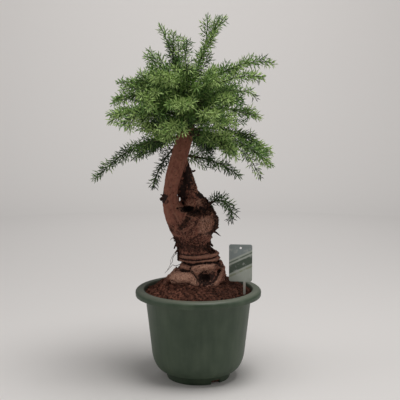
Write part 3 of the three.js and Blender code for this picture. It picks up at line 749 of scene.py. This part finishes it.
# Dry hair roots and the stubs of broken shoots, grown out of the neck, the rim of the boss and the limb,
# as dead and dark as the flakes.
ROOTLETS = [  # stations of x, y, z, then the radius at the foot and at the tip
    (
        [(-38, -8, 252), (-46, -10, 249), (-50, -12, 243), (-51, -13, 236), (-56, -14, 228), (-62, -15, 217)],
        0.7, 0.3,
    ),
    ([(-38, -8, 258), (-43, -10, 257), (-49, -12, 249), (-54, -14, 240), (-55, -15, 231)], 0.6, 0.3),
    ([(-36, -14, 230), (-46, -16, 228), (-50, -17, 230), (-57, -19, 223), (-66, -21, 214)], 0.7, 0.35),
    ([(-40, -6, 283), (-46, -8, 284), (-51, -9, 282), (-55, -9, 278)], 1.3, 0.4),
    ([(-38, -4, 275), (-44, -6, 273), (-46, -7, 268)], 1.2, 0.4),
    ([(29, -6, 295), (35, -8, 293), (40, -9, 289), (44, -9, 286)], 2.6, 0.4),
    ([(26, -6, 298), (35, -8, 299), (38, -8, 304)], 1.6, 0.5),
    ([(16, -4, 271), (25, -6, 269), (29, -7, 265)], 3.6, 1.6),
    ([(18, -4, 262), (27, -6, 260), (33, -7, 254)], 3.6, 1.2),
    ([(17, -4, 278), (22, -5, 276), (25, -6, 272)], 2.2, 1),
    ([(-37, -4, 281), (-44, -5, 280), (-48, -6, 275)], 2.6, 1),
    ([(-38, -4, 269), (-45, -5, 266), (-48, -6, 260)], 3, 1.2),
    ([(-37, -4, 259), (-43, -5, 255), (-45, -6, 250)], 2.6, 1),
    ([(-12, 2, 413), (-9, 1, 413), (-6, 0, 415)], 2.4, 1.6),
    ([(-68, -10, 366), (-72, -11, 368), (-74, -11, 368)], 1.8, 0.8),
]
root_sets = []
for stations, thick, thin in ROOTLETS:
    line = smooth_line(stations, 3 * len(stations))
    root_sets.append(tube(line, np.linspace(thick, thin, len(line)), 5))
rootlets = piece_of("rootlets", *joined(root_sets), dead_bark)
for piece in (trunk, flakes, rootlets):
    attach(piece, "root")
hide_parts("trunk")


# ---- Boughs and twigs ----
# Thin boughs leave the top of the smooth limb and arch outwards. Side twigs leave them to both sides by
# turns, and finer ones leave those. Their bark is brown at the foot and green among the needles.
BOUGHS = [  # name, height on the limb, heading, length, slope at the limb and at the tip, bare foot
    ("leader_right", 544, 26, 193, 86, 45, True),
    ("leader_left", 524, 166, 188, 78, 64, True),
    ("high_left", 519, 199, 156, 66, 48, True),
    ("high_back_left", 520, 141, 156, 64, 6, True),
    ("upper_left", 511, 176, 162, 62, -2, True),
    ("left_back", 500, 157, 188, 58, -26, True),
    ("left", 497, 192, 171, 46, -39, True),
    ("left_front", 502, 219, 166, 41, -38, True),
    ("left_low", 478, 178, 204, 2, -54, True),
    ("left_back_low", 472, 138, 138, -25, -75, False),
    ("high_right", 530, 358, 204, 70, -10, True),
    ("upper_right", 520, 338, 184, 64, -12, True),
    ("right_back", 516, 26, 173, 56, -26, True),
    ("right", 506, 356, 154, 40, -34, True),
    ("right_low", 488, 342, 192, 4, -44, True),
    ("right_mid", 494, 12, 182, 12, -46, True),
    ("right_back_low", 442, 24, 150, 0, -40, False),
    ("front_left_high", 521, 240, 150, 58, 12, False),
    ("front", 507, 266, 150, 41, -16, False),
    ("front_low", 494, 258, 146, 26, -24, False),
    ("front_right", 498, 300, 158, 33, -23, False),
    ("front_right_high", 525, 296, 146, 54, 6, False),
    ("front_high", 535, 266, 126, 64, 18, False),
    ("front_right_low", 482, 314, 144, 10, -34, False),
    ("front_left_low", 489, 233, 128, 24, -16, False),
    ("front_left", 509, 234, 162, 40, -12, False),
    ("front_right_mid", 512, 318, 148, 40, -16, False),
    ("back_high", 526, 100, 170, 66, 60, True),
    ("back_left", 512, 122, 178, 46, -8, True),
    ("back_right", 506, 52, 184, 46, -8, True),
    ("back", 503, 87, 178, 42, -14, True),
    ("back_left_low", 480, 134, 150, 0, -36, False),
    ("back_right_low", 482, 42, 134, 6, -30, False),
    ("back_low", 478, 66, 136, 2, -32, False),
    ("shoulder_twig", None, 354, 82, 66, -112, False),
]
UP = np.array([0.0, 0.0, 1.0])


def arch(start, heading, length, rise, tip):
    """A line that bends evenly in one upright plane. Its at and toward give the place and the direction."""
    level = np.array([math.cos(math.radians(heading)), math.sin(math.radians(heading)), 0])
    first, turn = math.radians(rise), math.radians(tip - rise) / length

    def at(s):
        s = np.asarray(s, float)[..., None]
        out = (np.sin(first + turn * s) - math.sin(first)) / turn
        return start + level * out + UP * (math.cos(first) - np.cos(first + turn * s)) / turn

    def toward(s):
        s = np.asarray(s, float)[..., None]
        return level * np.cos(first + turn * s) + UP * np.sin(first + turn * s)

    return {"length": length, "side": np.cross(UP, level), "at": at, "toward": toward}


def sagging(start, heading, length, sag):
    """A line that starts straight and sags towards its tip by an angle in degrees."""
    drop = math.tan(math.radians(sag)) / (2 * length)

    def at(s):
        s = np.asarray(s, float)[..., None]
        return start + heading * s - UP * drop * s * s

    def toward(s):
        s = np.asarray(s, float)[..., None]
        return unit(heading - UP * 2 * drop * s)

    return {"length": length, "side": unit(np.cross(UP, heading)), "at": at, "toward": toward}


arches = []
for name, height, heading, length, rise, tip, bare in BOUGHS:
    foot = limb_line[np.argmin(abs(limb_line[:, 2] - height))] if height else np.array([15.4, 4, 339])
    line = arch(foot, heading, length, rise, tip)
    arches.append({"name": name, "bare": bare, **line})
samples = [a["at"](np.linspace(0, a["length"], math.ceil(a["length"] / 4) + 1)) for a in arches]
sample_owner = np.concatenate([np.full(len(s), i) for i, s in enumerate(samples)])
samples = np.concatenate(samples)


def in_own_space(index, point, margin):
    """True where a point is clear of the wood, and nearer to its own bough than to any other by a margin."""
    away = np.linalg.norm(samples - point, axis=1)
    own = sample_owner == index
    clear = np.all(np.linalg.norm(limb_line - point, axis=1) > limb_radius + 3)
    return clear and away[~own].min() > away[own].min() + margin


def side_twig(parent, index, s, turn, angle, wanted, shortest, sag, margin):
    """A twig that leaves its parent at an angle, shortened until it keeps to the bough's own space."""
    way, side = parent["toward"](s), parent["side"]
    out = side * math.cos(turn) + np.cross(way, side) * math.sin(turn)
    heading = way * math.cos(math.radians(angle)) + out * math.sin(math.radians(angle))
    twig = sagging(parent["at"](s), heading, wanted, sag)
    length = wanted
    while length > shortest and not in_own_space(index, twig["at"](length + 6), margin):
        length -= 3
    twig["length"] = length
    return twig if length > shortest else None


BRANCHLET = {"from": 0.2, "to": 0.82, "longest": 84, "shortest": 22}
FORKS = {  # branchlets on the slender boughs; the others have eight
    "leader_right": 4, "leader_left": 3, "high_left": 2, "high_right": 1, "upper_right": 1, "left_low": 0,
    "left_back_low": 0, "right_back_low": 0, "shoulder_twig": 0, "back_high": 2, "right_back": 1, "right": 3,
    "front_right_mid": 3, "right_mid": 4, "right_low": 5, "left": 5, "left_front": 5, "front_low": 10,
    "front_left_low": 10, "front_left": 9, "back_low": 7, "back_right_low": 6, "front": 8, "back_left_low": 7,
}
PLUMES = {  # the finer twigs of single boughs: length at the foot and at the tip, and spacing, as shares
    "left_low": (1.3, 0.45, 0.62), "left_back_low": (0.95, 0.4, 0.68), "right_back_low": (1.25, 0.3, 0.62),
    "shoulder_twig": (0.95, 0.5, 0.45), "high_right": (1.0, 0.7, 0.7), "upper_right": (1.05, 0.6, 0.85),
    "front_left_low": (1.15, 0.65, 0.8), "left_front": (1.1, 0.58, 1), "back_low": (1.2, 0.7, 0.8),
}
TWIG = {"every": 11, "length": 32, "shortest": 8}
sprays = []  # every needle-clad shoot: its line, start, end, radii at both, how far out it is, and its kind
grow = random.Random(7)


def clothe(index, line, start, end, radii, out, kind):
    spray = {"bough": arches[index]["name"], "line": line, "from": start, "to": end, "radius": radii}
    sprays.append({**spray, "out": out, "kind": kind})


def finer_twigs(parent, index, start, end, out, at_foot, at_tip, spacing=1):
    """Side twigs to both sides by turns, shorter towards the tip."""
    s, i = start, grow.randrange(2)
    while s < end:
        share = (s - start) / (end - start)
        turn = math.pi * i + math.radians(grow.uniform(-50, 50))
        wanted = TWIG["length"] * (at_foot + (at_tip - at_foot) * share) * grow.uniform(0.7, 1.15)
        angle, sag = grow.uniform(36, 54), grow.uniform(4, 24)
        twig = side_twig(parent, index, s, turn, angle, wanted, TWIG["shortest"], sag, -10)
        if twig:
            clothe(index, twig, 1, twig["length"] - 3, (1.0, 0.5), out + 0.3 * (1 - out) * share, "twig")
        i = 1 - i
        s += TWIG["every"] * spacing * grow.uniform(0.75, 1.25)


for index, own in enumerate(arches):
    length = own["length"]
    forks = FORKS.get(own["name"], 8)
    start = length * (0.14 if own["bare"] else 0.06)
    clothe(index, own, start, length - 5, (2.2, 0.8), 0.55, "bough")
    finer_twigs(own, index, start + 10, length * 0.95, 0.7, *PLUMES.get(own["name"], (0.98, 0.51)))
    for i in range(forks):
        s = length * (BRANCHLET["from"] + (BRANCHLET["to"] - BRANCHLET["from"]) * (i + grow.random()) / forks)
        turn = math.pi * (i % 2) + math.radians(grow.uniform(-75, 75))
        wanted = min(BRANCHLET["longest"], (1.04 * length - s) * grow.uniform(0.6, 0.95))
        angle, sag = grow.uniform(16, 32), grow.uniform(8, 26)
        branchlet = side_twig(own, index, s, turn, angle, wanted, BRANCHLET["shortest"], sag, -16)
        if branchlet:
            out = s / length + 0.2
            clothe(index, branchlet, 2, branchlet["length"] - 4, (1.5, 0.6), out, "branchlet")
            finer_twigs(branchlet, index, 14, branchlet["length"] - 10, out, 0.69, 0.36)

wood_sets, green_sets = [], []
for own in arches:
    foot = np.linspace(0, own["length"] * 0.3, 6)
    wood_sets.append(tube(own["at"](foot), np.linspace(3.6, 2.3, 6), 6))
TWIG_MESH = {"bough": (15, 5), "branchlet": (7, 3), "twig": (5, 3)}  # rings and sides of each kind
for spray in sprays:
    rings, sides = TWIG_MESH[spray["kind"]]
    foot = spray["from"] if spray["kind"] == "bough" else 0
    s = np.linspace(foot, spray["to"] + 1.5, rings)
    green_sets.append(tube(spray["line"]["at"](s), np.linspace(*spray["radius"], rings), sides))

brown_twig, tree, shader = finish("bough_bark", tone(96, 66, 48), 0.85)
ringed = grain(tree, 3, 5)
colour = blend_colours(tree, steps(tree, ringed, 0.38, 0.62), tone(50, 38, 28), tone(80, 62, 44))
tree.links.new(colour, shader.inputs["Base Color"])
fine_relief(tree, shader, ringed, 0.5, 0.6)
green_twig, tree, shader = finish("green_twig", tone(64, 84, 44), 0.75)
ringed = grain(tree, 2.5, 4)
colour = blend_colours(tree, steps(tree, ringed, 0.38, 0.62), tone(54, 72, 40), tone(84, 98, 56))
tree.links.new(colour, shader.inputs["Base Color"])
boughs = piece_of("boughs", *joined(wood_sets), brown_twig)
twigs = piece_of("green_twigs", *joined(green_sets), green_twig)
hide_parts(*[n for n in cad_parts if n.startswith("bough_")])
for piece in (boughs, twigs):
    piece.data.polygons.foreach_set("use_smooth", [True] * len(piece.data.polygons))
    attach(piece, "root")


# ---- Needles ----
# Soft awl-shaped needles stand all round each shoot and curve forwards. Young shoots at the ends of the
# boughs are yellow-green and the old ones inside are dark. The rest is painted light and shade: lighter low
# down, at the front and on upright shoots, and painted shade high up, at the back and on the boughs in shade.
# Each colour is one kind of spray.
# The needles' lean away from the shoot, their bend halfway and the turn from one to the next in degrees.
NEEDLE = {"pitch": 1.7, "length": 15, "thickness": 1.0, "turn": 144, "lean": 72, "bend": 16}
NEEDLES_IN_A_PIECE = 32000
# Lit and shaded copies of one needle green, darkest to lightest: partly the needles' age, partly painted
# light and shade.
GREENS = [
    ("needles_shade", tone(38, 56, 33), 0.6),
    ("needles_deep", tone(58, 84, 44), 0.6),
    ("needles_mid", tone(84, 117, 57), 0.58),
    ("needles_fresh", tone(118, 150, 77), 0.56),
    ("needles_young", tone(162, 187, 112), 0.55),
]
# The darkening of the boughs in shade is painted shade.
DULLER = {  # how much darker the needles of the boughs in shade and of the old leaders are
    "right_back_low": 0.26, "left_back_low": 0.26, "shoulder_twig": 0.36, "left_low": 0.08, "back_low": 0.16,
    "back_right_low": 0.16, "back_left_low": 0.16, "leader_left": 0.05, "back_high": 0.1, "left_front": -0.06,
}
needle_rng = np.random.default_rng(3)


def needles_on(spray):
    """The needles of one shoot: foot, middle and tip of each, and the direction across it."""
    line = spray["line"]
    s = np.arange(spray["from"], spray["to"], NEEDLE["pitch"])
    count = len(s)
    share = (s - spray["from"]) / max(1, spray["to"] - spray["from"])
    way = line["toward"](s)
    side = unit(line["side"] - way * np.sum(way * line["side"], 1)[:, None])
    up = np.cross(way, side)
    angle = np.arange(count) * math.radians(NEEDLE["turn"]) + needle_rng.uniform(0, 6.28)
    angle += needle_rng.normal(0, 0.09, count)
    out = side * np.cos(angle)[:, None] + up * np.sin(angle)[:, None]
    near_tip = share**4
    length = NEEDLE["length"] * needle_rng.uniform(0.85, 1.1, count) * (1 - 0.4 * near_tip)
    lean = np.radians(NEEDLE["lean"] - 36 * near_tip + needle_rng.normal(0, 5, count))
    late = lean - np.radians(NEEDLE["bend"])
    radius = spray["radius"][0] * (1 - share) + spray["radius"][1] * share
    foot = line["at"](s) + out * (radius * 0.6)[:, None]
    first = way * np.cos(lean)[:, None] + out * np.sin(lean)[:, None]
    second = way * np.cos(late)[:, None] + out * np.sin(late)[:, None]
    middle = foot + first * (length * 0.5)[:, None]
    tip = middle + second * (length * 0.5)[:, None]
    return foot, middle, tip, unit(np.cross(first, out + way * 0.3))


def needle_mesh(feet, middles, tips, across):
    """Three-sided spindles of six faces, thickest before the middle, where they bend forwards."""
    lift = np.cross(unit(tips - feet), across)
    corners = [feet]
    for a in (0.0, 2.0944, 4.18879):  # thirds of a turn
        corners.append(middles + (across * math.cos(a) * 1.2 + lift * math.sin(a)) * NEEDLE["thickness"])
    points = np.stack(corners + [tips], 1)
    faces = np.array([(0, 2, 1), (0, 3, 2), (0, 1, 3), (4, 1, 2), (4, 2, 3), (4, 3, 1)])
    faces = faces[None] + (np.arange(len(feet)) * 5)[:, None, None]
    return points.reshape(-1, 3), faces.reshape(-1, 3)


CROWN = {"foot": 430, "height": 280, "depth": 120}


def age_and_painted_light(spray):
    """How light a shoot's needles are: young far out, painted light low down, at the front and where it
    stands up.
    """
    _, y, z = spray["line"]["at"](spray["to"] / 2)
    lightness = 0.7 * spray["out"] - 0.15 * (z - CROWN["foot"]) / CROWN["height"] - 0.12 * y / CROWN["depth"]
    lightness += 0.12 * float(spray["line"]["toward"](0.0)[2]) - DULLER.get(spray["bough"], 0)
    return lightness + needle_rng.normal(0.04, 0.16)


dealt = [[] for _ in GREENS]
for spray in sprays:
    green = (age_and_painted_light(spray) - 0.02) * 7
    dealt[int(np.clip(green, 0, len(GREENS) - 1))].append(needles_on(spray))
foliage_nodes = [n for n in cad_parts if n.startswith("foliage_")]
for (name, colour, roughness), sets in zip(GREENS, dealt):
    green, _, _ = finish(name, colour, roughness, 0.25)
    feet, middles, tips, across = (np.concatenate(part) for part in zip(*sets))
    for k in range(0, len(feet), NEEDLES_IN_A_PIECE):
        each = slice(k, k + NEEDLES_IN_A_PIECE)
        points, faces = needle_mesh(feet[each], middles[each], tips[each], across[each])
        needles = piece_of(f"{name}_{k // NEEDLES_IN_A_PIECE + 1}", points, faces, green)
        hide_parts(*foliage_nodes)
        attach(needles, "root")


# ---- Care tag ----
# A thin printed plastic card with rounded corners and an eyelet, moulded in one with the stake that is
# pushed into the compost. Its print is a plain pattern of bands and stripes in soft greens and greys.
CARD = {"width": 45, "height": 73, "foot": 202, "thickness": 0.8, "corner": 4}
EYELET = {"radius": 2.2, "height": 268}
STAKE = {"x": 7.6, "width": 4.6, "length": 37, "middle": 184.5, "point": 8, "tip": 160}
card_middle = CARD["foot"] + CARD["height"] / 2
tag = block("care_tag_card", (0, 0, card_middle), (CARD["width"], CARD["thickness"], CARD["height"]))


def runs_through(edge):
    """True for the four edges that run straight through the card."""
    a, b = (tag.data.vertices[v].co for v in edge.vertices)
    return abs(a.x - b.x) < 1e-6 and abs(a.z - b.z) < 1e-6


choose(tag, "edges", "EDGE", runs_through)
bpy.ops.mesh.bevel(offset=CARD["corner"] * MM, segments=6)
bpy.ops.object.mode_set(mode="OBJECT")
bpy.ops.mesh.primitive_cylinder_add(
    vertices=24,
    radius=EYELET["radius"] * MM,
    depth=10 * MM,
    location=(0, 0, EYELET["height"] * MM),
    rotation=(math.pi / 2, 0, 0),
)
eyelet = bpy.context.object
bpy.ops.object.transform_apply()
carve(tag, eyelet)
stake_size = (STAKE["width"], CARD["thickness"], STAKE["length"])
stake = block("stake", (STAKE["x"], 0, STAKE["middle"]), stake_size)
choose(stake, "vertices", "VERT", lambda v: v.co.z < STAKE["middle"] * MM)
bpy.ops.mesh.extrude_region_move(TRANSFORM_OT_translate={"value": (0, 0, -STAKE["point"] * MM)})
bpy.ops.transform.resize(value=(0.15, 1, 1), center_override=(STAKE["x"] * MM, 0, STAKE["tip"] * MM))
bpy.ops.object.mode_set(mode="OBJECT")
weld = tag.modifiers.new("weld", "BOOLEAN")
weld.operation = "UNION"
weld.solver = "EXACT"
weld.object = stake
apply_last(tag)
bpy.data.objects.remove(stake)
uv = tag.data.uv_layers.new(name="print")
for loop in tag.data.loops:
    place = tag.data.vertices[loop.vertex_index].co
    share_up = (place.z / MM - CARD["foot"]) / CARD["height"]
    uv.data[loop.index].uv = (place.x / MM / CARD["width"] + 0.5, share_up)
tag.rotation_euler = (0, 0, math.radians(-6))
tag.location = (82 * MM, -40 * MM, 0)
bpy.ops.object.transform_apply()
soften_edges(tag, 0.12)

card, tree, shader = finish("printed_card", tone(176, 180, 172), 0.4)
across, up, _ = put(tree, "SeparateXYZ", {"Vector": put(tree, "UVMap", uv_map="print").outputs[0]}).outputs


def above(line):
    """1 where the print lies above a slanting line across the card, 0 below it."""
    height = put(tree, "Math", {0: across, 1: -0.3, 2: up}, operation="MULTIPLY_ADD").outputs[0]
    return steps(tree, height, line - 0.012, line + 0.012)


BANDS = [(0.2, 0.42, (78, 90, 76)), (0.47, 0.51, (98, 110, 96)), (0.1, 0.15, (150, 156, 132))]
colour = blend_colours(tree, above(0.56), tone(178, 183, 172), tone(140, 148, 146))
for low, high, ink in BANDS:
    under = put(tree, "Math", {0: 1.0, 1: above(high)}, operation="SUBTRACT").outputs[0]
    band = put(tree, "Math", {0: above(low), 1: under}, operation="MULTIPLY").outputs[0]
    colour = blend_colours(tree, band, colour, tone(*ink))
colour = blend_colours(tree, steps(tree, up, -0.005, -0.02), colour, tone(186, 180, 170))
wear = grain(tree, 9, 4)
colour = blend_colours(tree, steps(tree, wear, 0.55, 0.8), colour, tone(190, 192, 186))
tree.links.new(colour, shader.inputs["Base Color"])
tag.data.materials.append(card)
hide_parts("care_tag")
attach(tag, "root")
